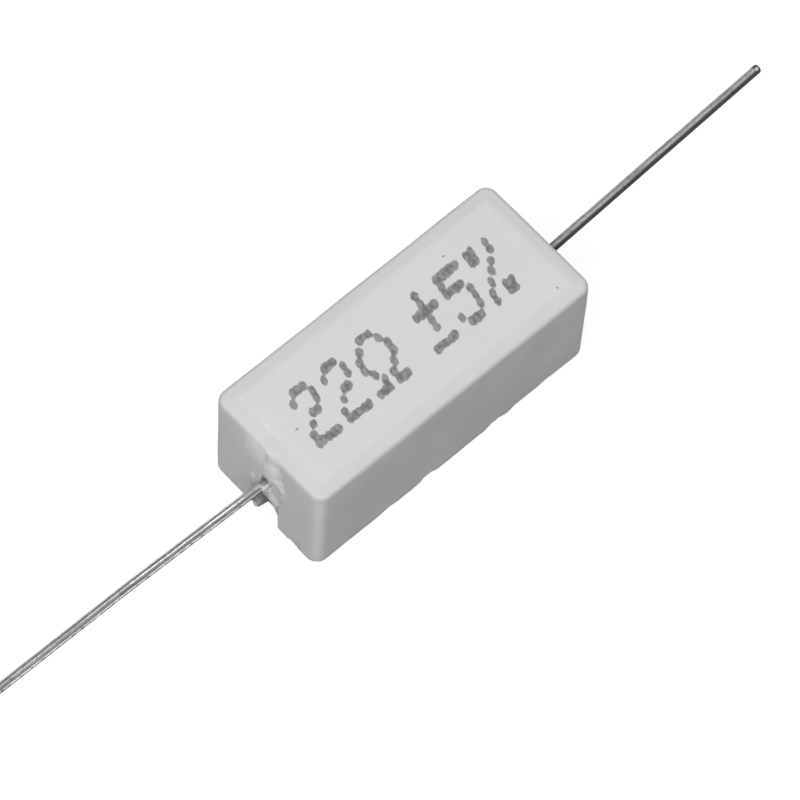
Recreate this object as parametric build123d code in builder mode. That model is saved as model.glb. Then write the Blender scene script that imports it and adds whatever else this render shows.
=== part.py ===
from build123d import *
import os

# A wirewound power resistor sealed with cement in a ceramic boat. Millimetres.
# X runs along the body towards the far lead, +Z points out of the printed face,
# and the origin is the centre of the open base, in the plane of its rim.

# Ceramic case
case_length = 22.0
case_width = 9.5
base_width = 9.32
case_height = 8.75
corner_radius = 0.85
side_wall = 1.06
end_wall = 1.1
roof_thickness = 1.3
cavity_corner_radius = 0.5

# Crown: a flat printed panel inside a border that falls away to the edges
crown_border = 1.15
crown_drop = 0.08
top_edge_radius = 0.4
rim_bevel = 0.13

# Arched slots in the end walls
slot_width = 2.26
slot_head_room = 0.5
slot_bevel = 0.15

# Chips bitten out of the rim's outer edge
side_chip_places = [-1.5, 4.0]
side_chip_radius = 1.6
side_chip_depth = 0.14
end_chip_place = -2.7
end_chip_radius = 0.45
end_chip_depth = 0.14

# Wound element
element_height = 4.2
element_end_room = 3.02
rod_diameter = 3.8
cap_length = 2.9
cap_wall = 0.28
cap_bevel = 0.25
wire_size = 0.07
wire_clearance = 0.01
winding_turns = 8.25

# Leads
lead_diameter = 0.6
lead_tip_bevel = 0.1
lead_straight = 1.0
near_lead_length = 22.0
near_lead_kink = 11.0
near_lead_rise = 0.92
near_tip_rise = 0.24
far_lead_length = 18.8
far_exit_rise = 0.25
far_exit_drift = 0.2
far_tip_rise = 1.33
far_tip_drift = 0.38
lead_bend_radius = 12.0

# Cement: a sagging underside, an open arch under each lead, a collar on each lead
# and a thin smear up the near end face
cement_recess = 0.3
meniscus_depth = 0.2
arch_width = 2.16
arch_height = 2.85
arch_corner_radius = 0.8
arch_depth = 0.9
nub_width = 0.66
nub_corner_radius = 0.25
collar_radius = 0.62
collar_lip = 0.045
collar_length = 0.5
smear_thickness = 0.12
smear_top_gap = 0.1
smear_top_width = 2.1
smear_foot_drop = 1.6

# How close to a plane an edge lies to count as being on it
on_plane = 0.01

os.makedirs("parts", exist_ok=True)

half_length = case_length / 2
cavity_length = case_length - 2 * end_wall
cavity_width = base_width - 2 * side_wall
cavity_height = case_height - roof_thickness
rod_radius = rod_diameter / 2
cap_radius = rod_radius + cap_wall
cap_end = half_length - element_end_room
rod_length = 2 * (cap_end - cap_wall)
lead_radius = lead_diameter / 2
slot_half_width = slot_width / 2
slot_height = element_height + lead_radius + slot_head_room
crown_base = case_height - crown_drop

# The hollow of the boat, which the cement takes its shape from
with BuildPart() as cavity:
    Box(
        cavity_length,
        cavity_width,
        cavity_height,
        align=(Align.CENTER, Align.CENTER, Align.MIN),
    )
    fillet(cavity.edges().filter_by(Axis.Z), cavity_corner_radius)

# The slots' arched section, run from one end of the case to the other
with BuildPart() as slot:
    with BuildSketch(Plane.YZ) as slot_section:
        with Locations((0, slot_height - slot_half_width)):
            Circle(slot_half_width)
        Rectangle(
            slot_width,
            slot_height - slot_half_width,
            align=(Align.CENTER, Align.MIN),
        )
    extrude(amount=half_length, both=True)

with BuildPart() as ceramic_case:
    # Its cross section, a little narrower at the rim, with the borders falling away
    with BuildSketch(Plane.YZ.offset(-half_length)):
        Polygon(
            (-base_width / 2, 0),
            (base_width / 2, 0),
            (case_width / 2, crown_base),
            (case_width / 2 - crown_border, case_height),
            (crown_border - case_width / 2, case_height),
            (-case_width / 2, crown_base),
            align=None,
        )
    extrude(amount=case_length)
    # The same fall towards each end
    for side in (-1, 1):
        with BuildSketch(Plane.XZ):
            Polygon(
                (side * (half_length - crown_border), case_height),
                (side * (half_length + crown_border), case_height - 2 * crown_drop),
                (side * (half_length + crown_border), case_height),
                align=None,
            )
        extrude(amount=case_width, both=True, mode=Mode.SUBTRACT)
    corners = ceramic_case.edges().filter_by_position(Axis.Z, on_plane, crown_base - on_plane)
    fillet(corners, corner_radius)
    top_edge = ceramic_case.edges().filter_by_position(
        Axis.Z, crown_base - crown_drop / 4, crown_base + crown_drop / 4
    )
    fillet(top_edge, top_edge_radius)
    chamfer(ceramic_case.faces().sort_by(Axis.Z)[0].edges(), rim_bevel)
    # Shallow scallops where the long side's rim has crumbled
    for place in side_chip_places:
        with Locations((place, side_chip_depth - base_width / 2 - side_chip_radius, 0)):
            Sphere(side_chip_radius, mode=Mode.SUBTRACT)
    with Locations((end_chip_depth - half_length - end_chip_radius, end_chip_place, 0)):
        Sphere(end_chip_radius, mode=Mode.SUBTRACT)
    add(cavity.part, mode=Mode.SUBTRACT)
    add(slot.part, mode=Mode.SUBTRACT)
    # Each slot's mouth is eased, up both sides and over its arch
    slot_sides = ceramic_case.edges().filter_by_position(
        Axis.Y, -slot_half_width - on_plane, slot_half_width + on_plane
    )
    for side in (-1, 1):
        mouth = side * half_length
        chamfer(
            slot_sides.filter_by_position(Axis.X, mouth - on_plane, mouth + on_plane),
            slot_bevel,
        )
ceramic_case.part.label = "ceramic_case"

with BuildPart() as core_rod:
    with BuildSketch(Plane.YZ.offset(-rod_length / 2)):
        with Locations((0, element_height)):
            Circle(rod_radius)
    extrude(amount=rod_length)
core_rod.part.label = "core_rod"

# The wire's round section is stood in for by a square of about the same area
bare_rod = rod_length - 2 * (cap_length - cap_wall)
winding_length = bare_rod - wire_size - 2 * wire_clearance
winding_radius = rod_radius + wire_clearance + wire_size / 2
with BuildPart() as resistance_wire:
    with BuildLine() as winding_path:
        Helix(
            winding_length / winding_turns,
            winding_length,
            winding_radius,
            center=(-winding_length / 2, 0, element_height),
            direction=(1, 0, 0),
        )
    with BuildSketch(Plane(origin=winding_path.line @ 0, z_dir=winding_path.line % 0)):
        Rectangle(wire_size, wire_size)
    sweep(is_frenet=True)
resistance_wire.part.label = "resistance_wire"


def end_cap(side):
    """A pressed cup over one end of the rod: side is -1 for the near end, +1 for the far."""
    cap_plane = Plane(
        origin=(side * (cap_end - cap_length), 0, element_height),
        x_dir=(0, 1, 0),
        z_dir=(side, 0, 0),
    )
    with BuildPart() as cap:
        with BuildSketch(cap_plane):
            Circle(cap_radius)
        extrude(amount=cap_length)
        chamfer(cap.faces().sort_by(Axis.X)[0 if side < 0 else -1].edges(), cap_bevel)
        with BuildSketch(cap_plane):
            Circle(rod_radius)
        extrude(amount=cap_length - cap_wall, mode=Mode.SUBTRACT)
    return cap


end_cap_near = end_cap(-1)
end_cap_near.part.label = "end_cap_near"
end_cap_far = end_cap(1)
end_cap_far.part.label = "end_cap_far"


def lead(points):
    """A round wire along straight runs and gentle bends, with its free tip eased."""
    with BuildPart() as wire:
        with BuildLine() as route:
            FilletPolyline(*points, radius=lead_bend_radius)
        start = route.wire() @ 0
        with BuildSketch(Plane(origin=start, z_dir=route.wire() % 0)):
            Circle(lead_radius)
        sweep()
        tip = wire.faces().filter_by(GeomType.PLANE).sort_by_distance(start)[-1]
        chamfer(tip.edges(), lead_tip_bevel)
    return wire


first_bend = cap_end + lead_straight
exit_run = half_length - first_bend
near_exit_rise = near_lead_rise * exit_run / (exit_run + near_lead_kink)

near_points = [
    (-cap_end, 0, element_height),
    (-first_bend, 0, element_height),
    (-half_length - near_lead_kink, 0, element_height + near_lead_rise),
    (
        -half_length - near_lead_length,
        0,
        element_height + near_lead_rise + near_tip_rise,
    ),
]
lead_near = lead(near_points)
lead_near.part.label = "lead_near"

far_points = [
    (cap_end, 0, element_height),
    (first_bend, 0, element_height),
    (half_length, far_exit_drift, element_height + far_exit_rise),
    (
        half_length + far_lead_length,
        far_exit_drift + far_tip_drift,
        element_height + far_exit_rise + far_tip_rise,
    ),
]
lead_far = lead(far_points)
lead_far.part.label = "lead_far"

# What is left open under a lead: an arch in from the end face, and at the near end
# a nub of cement down one side of it
with BuildPart() as arch:
    with BuildSketch(Plane.YZ.offset(-half_length)) as arch_section:
        Rectangle(arch_width, arch_height, align=(Align.CENTER, Align.MIN))
        fillet(arch_section.vertices().group_by(Axis.Z)[-1], arch_corner_radius)
    extrude(amount=arch_depth)

with BuildPart() as arch_with_nub:
    add(arch.part)
    with BuildSketch(Plane.XY) as nub_plan:
        with Locations((-half_length + arch_depth / 2, (arch_width - nub_width) / 2)):
            Rectangle(arch_depth, nub_width)
        fillet(nub_plan.vertices().group_by(Axis.X)[0].group_by(Axis.Y)[0], nub_corner_radius)
    extrude(amount=arch_height, mode=Mode.SUBTRACT)

# The smear runs from under the case's top edge down round the near lead
smear_top = crown_base - top_edge_radius - smear_top_gap
smear_foot = element_height - smear_foot_drop
smear_edge = [
    (-smear_top_width / 2, smear_top),
    (-slot_half_width * 1.4, (smear_top + element_height) / 2),
    (-slot_half_width * 1.5, element_height),
    (-slot_half_width, smear_foot),
    (collar_radius, element_height - collar_radius * 1.6),
    (slot_half_width, element_height - collar_radius / 2),
    (collar_radius / 2, slot_height + collar_radius),
    (smear_top_width / 2, smear_top),
]

with BuildPart() as cement_fill:
    add(cavity.part)
    add(slot.part)
    # The cement stands a little below the rim, and lower still along its middle
    Box(
        case_length * 2,
        case_width * 2,
        cement_recess,
        align=(Align.CENTER, Align.CENTER, Align.MIN),
        mode=Mode.SUBTRACT,
    )
    meniscus_radius = ((cavity_width / 2) ** 2 + meniscus_depth**2) / (2 * meniscus_depth)
    with Locations((0, 0, cement_recess + meniscus_depth - meniscus_radius)):
        Cylinder(
            meniscus_radius,
            case_length * 2,
            rotation=(0, 90, 0),
            mode=Mode.SUBTRACT,
        )
    add(arch_with_nub.part, mode=Mode.SUBTRACT)
    mirror(arch.part, about=Plane.YZ, mode=Mode.SUBTRACT)
    with BuildSketch(Plane.YZ.offset(-half_length)):
        with BuildLine():
            Spline(*smear_edge)
            Line(smear_edge[-1], smear_edge[0])
        make_face()
    extrude(amount=-smear_thickness)
    # Collars where the cement has crept out along the leads
    for side, drift, rise in ((-1, 0, near_exit_rise), (1, far_exit_drift, far_exit_rise)):
        root = Plane(
            origin=(side * half_length, drift, element_height + rise),
            z_dir=(side, 0, 0),
        )
        with BuildSketch(root):
            Circle(collar_radius)
        with BuildSketch(root.offset(collar_length)):
            Circle(lead_radius + collar_lip)
        loft()
    # The room that the wound element and its leads take up
    with BuildSketch(Plane.YZ.offset(-bare_rod / 2)):
        with Locations((0, element_height)):
            Circle(winding_radius + wire_size / 2 + wire_clearance)
    extrude(amount=bare_rod, mode=Mode.SUBTRACT)
    for held in (core_rod, end_cap_near, end_cap_far, lead_near, lead_far):
        add(held.part, mode=Mode.SUBTRACT)
cement_fill.part.label = "cement_fill"

pieces = [
    ceramic_case,
    cement_fill,
    core_rod,
    resistance_wire,
    end_cap_near,
    end_cap_far,
    lead_near,
    lead_far,
]
for piece in pieces:
    export_step(piece.part, f"parts/{piece.part.label}.step")
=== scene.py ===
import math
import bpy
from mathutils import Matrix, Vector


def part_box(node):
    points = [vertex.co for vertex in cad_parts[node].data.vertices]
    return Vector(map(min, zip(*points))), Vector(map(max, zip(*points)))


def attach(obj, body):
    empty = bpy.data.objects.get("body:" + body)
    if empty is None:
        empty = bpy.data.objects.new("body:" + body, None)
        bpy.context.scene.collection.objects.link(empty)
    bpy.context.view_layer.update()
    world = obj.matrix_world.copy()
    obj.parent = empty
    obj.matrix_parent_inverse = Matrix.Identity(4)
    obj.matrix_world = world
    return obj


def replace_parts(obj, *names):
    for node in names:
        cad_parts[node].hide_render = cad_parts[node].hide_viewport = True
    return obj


bl_info = {
    "name": "Cement power resistor",
    "version": (1, 0, 0),
    "blender": (4, 5, 0),
    "location": "3D View > Sidebar > Resistor",
    "description": "Dresses the frame of a wirewound resistor sealed with cement in a ceramic boat",
    "category": "Object",
}

import bmesh
import bpy
import numpy as np
from bpy.props import FloatProperty, FloatVectorProperty, PointerProperty, StringProperty
from bpy.types import Operator, Panel, PropertyGroup
from mathutils import Matrix, Vector

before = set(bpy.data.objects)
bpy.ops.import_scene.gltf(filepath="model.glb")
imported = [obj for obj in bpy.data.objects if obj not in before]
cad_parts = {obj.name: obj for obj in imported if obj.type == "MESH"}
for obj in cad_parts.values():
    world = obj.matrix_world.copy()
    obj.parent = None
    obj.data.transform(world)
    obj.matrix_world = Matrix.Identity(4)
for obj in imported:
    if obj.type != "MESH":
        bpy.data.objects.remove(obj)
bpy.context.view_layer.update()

# The shapes below are worked out in millimetres and put into the meshes in metres
MM = 0.001
case_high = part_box("ceramic_case")[1]
near_low, near_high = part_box("lead_near")
far_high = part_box("lead_far")[1]


def length_mm(name, description, default):
    return FloatProperty(name=name, description=description, default=default, min=0, precision=3)


def watts(name, description, default):
    return FloatProperty(name=name, description=description, default=default, unit="POWER")


def tint(name, description, default):
    return FloatVectorProperty(
        name=name, description=description, default=default, subtype="COLOR", size=3, min=0, max=1
    )


class CaseSizes(PropertyGroup):
    """The ceramic boat, in millimetres."""

    length: length_mm("Length", "Over the end faces", 2 * case_high.x / MM)
    width: length_mm("Width", "Across the sides at the top", 2 * case_high.y / MM)
    base_width: length_mm("Base width", "Across the sides at the rim", 9.32)
    height: length_mm("Height", "Rim to printed face", case_high.z / MM)
    corner_radius: length_mm("Corner radius", "Of the upright corners", 0.85)
    side_wall: length_mm("Side wall", "Thickness of a long wall at the rim", 1.06)
    end_wall: length_mm("End wall", "Thickness of an end wall", 1.1)
    roof: length_mm("Roof", "Thickness under the printed face", 1.3)
    border: length_mm("Border", "Width of the sloping border round the flat panel", 1.15)
    drop: length_mm("Drop", "How far the border falls to the edge", 0.09)
    edge_radius: length_mm("Edge radius", "Rounding round the printed face", 0.4)
    rim_radius: length_mm("Rim radius", "Rounding round the rim and the slots", 0.17)
    slot_width: length_mm("Slot width", "Across each end slot", 2.26)
    slot_height: length_mm("Slot height", "Rim to the top of the slot's arch", 5.0)
    draw: length_mm("Draw", "How far the walls curve in below the top edge", 0.035)
    unevenness: length_mm("Unevenness", "Swell of the fired walls", 0.016)


class CementSizes(PropertyGroup):
    """The cement fill, in millimetres."""

    recess: length_mm("Recess", "How far it stands back from the rim", 0.3)
    meniscus: length_mm("Meniscus", "How far its middle sags below its edges", 0.2)
    grain: length_mm("Grain", "Height of its roughness", 0.022)
    smear: length_mm("Smear", "Greatest thickness of the smear on the near end", 0.27)
    collar: length_mm("Collar", "How far it has crept out along a lead", 0.42)
    pocket_height: length_mm("Pocket height", "Of the open arch under a lead", 2.8)
    pocket_depth: length_mm("Pocket depth", "Of the open arch under a lead", 0.8)


class LeadSizes(PropertyGroup):
    """The tinned wire leads, in millimetres."""

    diameter: length_mm("Diameter", "Of the tinned wire", 0.6)
    height: length_mm("Height", "Of the leads above the rim, inside the case", 4.2)
    bend_radius: length_mm("Bend radius", "Of the slow bends in a lead", 12.0)
    tip_radius: length_mm("Tip radius", "Rounding of a free end", 0.13)


class MarkingSizes(PropertyGroup):
    """The printed value, in millimetres."""

    text: StringProperty(
        name="Value",
        description="Digits and signs to print: 0-9, ohm, plus-minus, percent",
        default="22Ω ±5%",
    )
    row_pitch: length_mm("Row pitch", "Between dots up a character", 0.575)
    column_pitch: length_mm("Column pitch", "Between dots along a character", 0.37)
    gap: length_mm("Gap", "Between one character's last column and the next one's first", 0.95)
    start: FloatProperty(
        name="Start", description="First column's place along the case, millimetres", default=-8.0
    )
    slant: FloatProperty(
        name="Slant", description="Lean of the characters", default=math.radians(10.2), subtype="ANGLE"
    )
    drop_width: length_mm("Drop width", "Of one drop of ink, along the characters", 0.5)
    drop_height: length_mm("Drop height", "Of one drop of ink, up the characters", 0.66)
    thickness: length_mm("Thickness", "Of the dry ink", 0.008)


class Finishes(PropertyGroup):
    """The colours of the finishes."""

    ceramic: tint("Ceramic", "Fired body of the case", (0.72, 0.72, 0.72))
    cement: tint("Cement", "Sealing cement", (0.75, 0.748, 0.742))
    stain: tint("Stain", "Faint stain by the chipped rim", (0.56, 0.56, 0.46))
    ink: tint("Ink", "Printed drops", (0.265, 0.265, 0.265))
    ink_dark: tint("Thick ink", "Where drops overlap", (0.18, 0.18, 0.18))
    tin: tint("Tin", "Bright tinned wire", (0.92, 0.92, 0.91))
    # Also the colour of the painted shade and the painted reflection line on the wire
    tin_dark: tint("Dull tin", "Streaks along the wire", (0.20, 0.20, 0.20))
    cap_steel: tint("Cap steel", "Pressed end caps", (0.55, 0.55, 0.56))
    alloy: tint("Resistance alloy", "Wound wire", (0.42, 0.39, 0.36))


class StageSettings(PropertyGroup):
    """Floor, lamps and camera."""

    floor: tint("Floor", "Pale floor", (1.0, 1.0, 1.0))
    floor_bounce: tint("Floor bounce", "What the floor gives back to the object", (0.17, 0.17, 0.17))
    world: tint("World", "Light from all round", (0.22, 0.22, 0.22))
    key_power: watts("Key lamp", "Power of the large lamp at the near end", 2.06)
    fill_power: watts("Fill lamp", "Power of the small lamp at the far end", 0.25)
    lens: FloatProperty(name="Lens", description="Focal length", default=299.0, unit="CAMERA")


class Sock:
    """An output of a shader node. Operators on it add Math nodes, and 1 - sock works too."""

    def __init__(self, shader, socket):
        self.shader = shader
        self.socket = socket

    def __add__(self, other):
        return self.shader.math("ADD", self, other)

    def __sub__(self, other):
        return self.shader.math("SUBTRACT", self, other)

    def __rsub__(self, other):
        return self.shader.math("SUBTRACT", other, self)

    def __mul__(self, other):
        return self.shader.math("MULTIPLY", self, other)

    def __abs__(self):
        return self.shader.math("ABSOLUTE", self)

    __radd__ = __add__
    __rmul__ = __mul__


class Shader:
    """A material's nodes: node() adds any node, and the rest are the few that come back often."""

    def __init__(self, name):
        self.material = bpy.data.materials.new(name)
        self.material.use_nodes = True
        self.tree = self.material.node_tree
        self.tree.nodes.clear()

    def node(self, kind, settings=None, sockets=None, output=0):
        made = self.tree.nodes.new("ShaderNode" + kind)
        for key, value in (settings or {}).items():
            setattr(made, key, value)
        for key, value in (sockets or {}).items():
            if isinstance(value, Sock):
                self.tree.links.new(value.socket, made.inputs[key])
            else:
                made.inputs[key].default_value = value
        return Sock(self, made.outputs[output]) if made.outputs else None

    def math(self, operation, *values):
        return self.node("Math", {"operation": operation}, dict(enumerate(values)))

    def largest(self, value, *others):
        for other in others:
            value = self.math("MAXIMUM", value, other)
        return value

    def place(self):
        """Object coordinates."""
        return self.node("TexCoord", output="Object")

    def axes(self, vector):
        """The three coordinates of a vector."""
        split = self.node("SeparateXYZ", None, {0: vector}).socket.node
        return [Sock(self, out) for out in split.outputs]

    def noise(self, vector, scale, detail, roughness=0.55):
        """Noise from 0 to 1, scale features to a unit of the vector."""
        sockets = {"Vector": vector, "Scale": scale, "Detail": detail, "Roughness": roughness}
        return self.node("TexNoise", {"noise_dimensions": "3D"}, sockets)

    def ramp(self, value, low, high):
        """0 below low, 1 above high, and a smooth step between."""
        sockets = {"Value": value, "From Min": low, "From Max": high}
        return self.node("MapRange", {"interpolation_type": "SMOOTHSTEP"}, sockets)

    def fall(self, value, low, high):
        """1 below low, 0 above high, and a smooth step between."""
        return 1 - self.ramp(value, low, high)

    def blend(self, share, first, second):
        """A colour: first where share is 0, second where it is 1."""
        ends = [v if isinstance(v, Sock) else (*v, 1) for v in (first, second)]
        return self.node("Mix", {"data_type": "RGBA"}, {0: share, 6: ends[0], 7: ends[1]}, 2)

    def spot(self, vector, middle, reach):
        """1 at a place and 0 beyond an ellipsoid round it, both in metres."""
        off = self.node("VectorMath", {"operation": "SUBTRACT"}, {0: vector, 1: middle})
        off = self.node("VectorMath", {"operation": "DIVIDE"}, {0: off, 1: reach})
        far = self.node("VectorMath", {"operation": "LENGTH"}, {0: off}, "Value")
        return self.fall(far, 0.25, 1.0)

    def bump(self, height, strength, distance, normal=None):
        sockets = {"Height": height, "Strength": strength, "Distance": distance}
        if normal is not None:
            sockets["Normal"] = normal
        return self.node("Bump", None, sockets)

    def surface(self, sockets):
        """Ends the material in a Principled BSDF."""
        principled = self.node("BsdfPrincipled", None, sockets)
        self.node("OutputMaterial", None, {"Surface": principled})
        return self.material


def shade(colour, share):
    """A colour made darker or lighter."""
    return tuple(c * share for c in colour)


def grey(value):
    return (value, value, value)


# Colours of painted shade on the rim and in the hollows, and of specks on the surfaces
RIM_SHADE = (0.25, 0.25, 0.245)
HOLLOW_SHADE = (0.19, 0.19, 0.185)
SPECKS = (0.42, 0.41, 0.4)

# Marks on the near end, each a middle and a reach in metres
# A chalky film, with painted light where it covers the worn dent
CHALKY_FILM_AND_LIGHT = ((-0.011, 0.0006, 0.0080), (0.001, 0.0018, 0.0026))
DARK_SPOT = ((-0.011, -0.00355, 0.0042), (0.0005, 0.00022, 0.0005))
STAINED_CHIP = ((-0.011, -0.0029, 0.0006), (0.0007, 0.0007, 0.0008))
# Painted light on the smear's top, over the shade of its crease
SMEAR_TOP_LIGHT = ((-0.011, 0.0003, 0.0084), (0.001, 0.0008, 0.0008))
# A painted lit patch in the painted shade of the open arch
LIT_HOLLOW = ((-0.0109, 0.0005, 0.0009), (0.0007, 0.00022, 0.0005))
# Painted shade in the pit over the lead and round its collar
PIT_SHADE = ((-0.0109, 0.0, 0.0049), (0.0005, 0.0004, 0.00065))
COLLAR_SHADE = ((-0.0112, -0.0002, 0.0049), (0.0004, 0.0004, 0.0004))
CHALK = (
    ((-0.011, -0.0008, 0.0036), (0.001, 0.0009, 0.0011)),
    ((-0.011, -0.00168, 0.0050), (0.001, 0.00025, 0.0010)),
    ((-0.011, 0.00108, 0.0038), (0.001, 0.00026, 0.0007)),
)


def ceramic_finish(colours, case):
    """Fired ceramic: matt, with cloudy blotches, pin specks and fine grain.

    The border round the panel is a little darker, which is painted shade of its slope. The upright
    corners are painted lighter, a painted highlight, and the rim has painted shade. By the cement of
    the near end are a chalky film, partly painted light over the worn dent, a spot and the stained chip.
    """
    s = Shader("fired_ceramic")
    body = colours.ceramic
    place = s.place()
    x, y, z = s.axes(place)
    far_x, far_y = abs(x), abs(y)
    half_x, half_y = case.length / 2 * MM, case.width / 2 * MM
    inset = s.math("MINIMUM", half_x - far_x, half_y - far_y)
    cloud = s.noise(place, 260, 3, 0.5)
    base = s.blend(s.ramp(cloud, 0.3, 0.75), body, shade(body, 0.975))
    # Painted shade: the sloping border is made a little darker, for the light falling off its slope, up
    # to its wandering inner edge
    border = s.fall(inset + (cloud - 0.5) * 0.0002, 0.0008, 0.0012) * s.ramp(z, 0.0082, 0.0083)
    base = s.blend(border * 0.055, base, grey(0.0))
    # Painted highlight: the upright corners are made lighter below the top edge
    outer, inner = 0.00015, 0.00075
    at_end = s.ramp(far_x, half_x - inner, half_x - outer)
    corner = at_end * s.ramp(far_y, half_y - inner, half_y - outer)
    base = s.blend(corner * s.fall(z, 0.0078, 0.0083), base, shade(body, 1.24))
    # A chalky film by the cement, and painted light where it covers the worn dent at the top edge,
    # lifting its shade
    film = s.spot(place, *CHALKY_FILM_AND_LIGHT) * s.fall(z, 0.0080, 0.0087)
    film = film * (0.6 + 0.4 * s.ramp(s.noise(place, 1100, 3, 0.6), 0.3, 0.6))
    base = s.blend(film, base, shade(body, 1.28))
    base = s.blend(s.spot(place, *DARK_SPOT) * 0.12, base, grey(0.2))
    base = s.blend(s.spot(place, *STAINED_CHIP) * 0.6, base, colours.stain)
    # Painted shade on the rim: a faint patchy band, and a stronger one on its lowest part
    patchy = s.ramp(s.noise(place, 1300, 3, 0.6), 0.3, 0.6)
    rim_shade = s.fall(z, 0.0001, 0.0006) * patchy * 0.3 + s.fall(z, 0.0001, 0.0003) * (0.25 + 0.35 * patchy)
    base = s.blend(rim_shade * s.fall(inset, 0.00018, 0.0003), base, RIM_SHADE)
    base = s.blend(s.ramp(s.noise(place, 4200, 1, 0.5), 0.79, 0.84) * 0.3, base, SPECKS)
    swell = s.bump(s.noise(place, 900, 2, 0.5), 0.2, 0.0001)
    grain = s.bump(s.noise(place, 2600, 3, 0.6), 0.3, 0.00003, swell)
    sockets = {"Base Color": base, "Roughness": s.ramp(cloud, 0.2, 0.8) * 0.12 + 0.5, "Normal": grain}
    return s.surface({**sockets, "IOR": 1.45, "Specular IOR Level": 0.3})


def cement_finish(colours, name, ends):
    """Sand-filled cement: pale grey, granular, with pores.

    At the ends the smear is chalky and its top has the ceramic's colour, with painted light on it.
    The hollows round and under the leads have painted shade, with a painted lit patch in the open arch.
    """
    s = Shader(name)
    body = colours.cement
    place = s.place()
    cloud = s.noise(place, 500, 3, 0.6)
    base = s.blend(s.ramp(cloud, 0.3, 0.7), shade(body, 0.95), shade(body, 1.03))
    pores = s.node("TexVoronoi", None, {"Vector": place, "Scale": 1500.0})
    base = s.blend(s.fall(pores, 0.02, 0.18) * 0.3, base, shade(body, 0.45))
    if ends:
        x, y, z = s.axes(place)
        below_top = s.fall(z, 0.0077, 0.0084)
        chalk = s.ramp(z, 0.0056, 0.0060) * below_top * (0.2 + 0.8 * s.ramp(y, -0.0014, -0.0009))
        chalk = s.largest(chalk, *[s.spot(place, *mark) for mark in CHALK])
        base = s.blend(chalk * (0.7 + 0.3 * s.ramp(cloud, 0.3, 0.6)), base, shade(body, 1.24))
        base = s.blend(1 - below_top, base, shade(colours.ceramic, 0.95))
        # Painted light at the smear's top, lifting the shade of its crease
        base = s.blend(s.spot(place, *SMEAR_TOP_LIGHT), base, shade(colours.ceramic, 1.15))
        # Painted shade in the open arch under the lead and on its nub, less at a painted lit patch
        hollow = s.ramp(abs(x), 0.01101, 0.01090) * s.fall(z, 0.0031, 0.0034)
        # Painted shade in the pit over the lead
        pit = s.spot(place, *PIT_SHADE)
        # A painted shade line from the open arch up to the lead, along the groove in the collar
        off_groove = y + (z - 0.0049) * 0.4 + 0.00003
        line = s.fall(abs(off_groove), 0.00003, 0.00014) * s.ramp(z, 0.0021, 0.0027)
        line = line * s.fall(z, 0.0048, 0.0051) * s.ramp(x, -0.0105, -0.0108)
        line = line * 0.6 + s.spot(place, *COLLAR_SHADE) * 0.4
        painted_shade = s.largest(pit, line, hollow * (0.9 - s.spot(place, *LIT_HOLLOW) * 0.3))
        base = s.blend(painted_shade * (0.7 + cloud * 0.3), base, HOLLOW_SHADE)
        # Painted shade: the pit over the lead is made nearly black
        base = s.blend(pit * 0.8, base, grey(0.05))
    lumps = s.bump(s.noise(place, 1500, 2, 0.5), 0.3, 0.0001)
    grain = s.bump(s.noise(place, 3400, 4, 0.7), 0.4, 0.00004, lumps)
    return s.surface({"Base Color": base, "Roughness": 0.8, "Normal": grain, "Specular IOR Level": 0.25})


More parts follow.
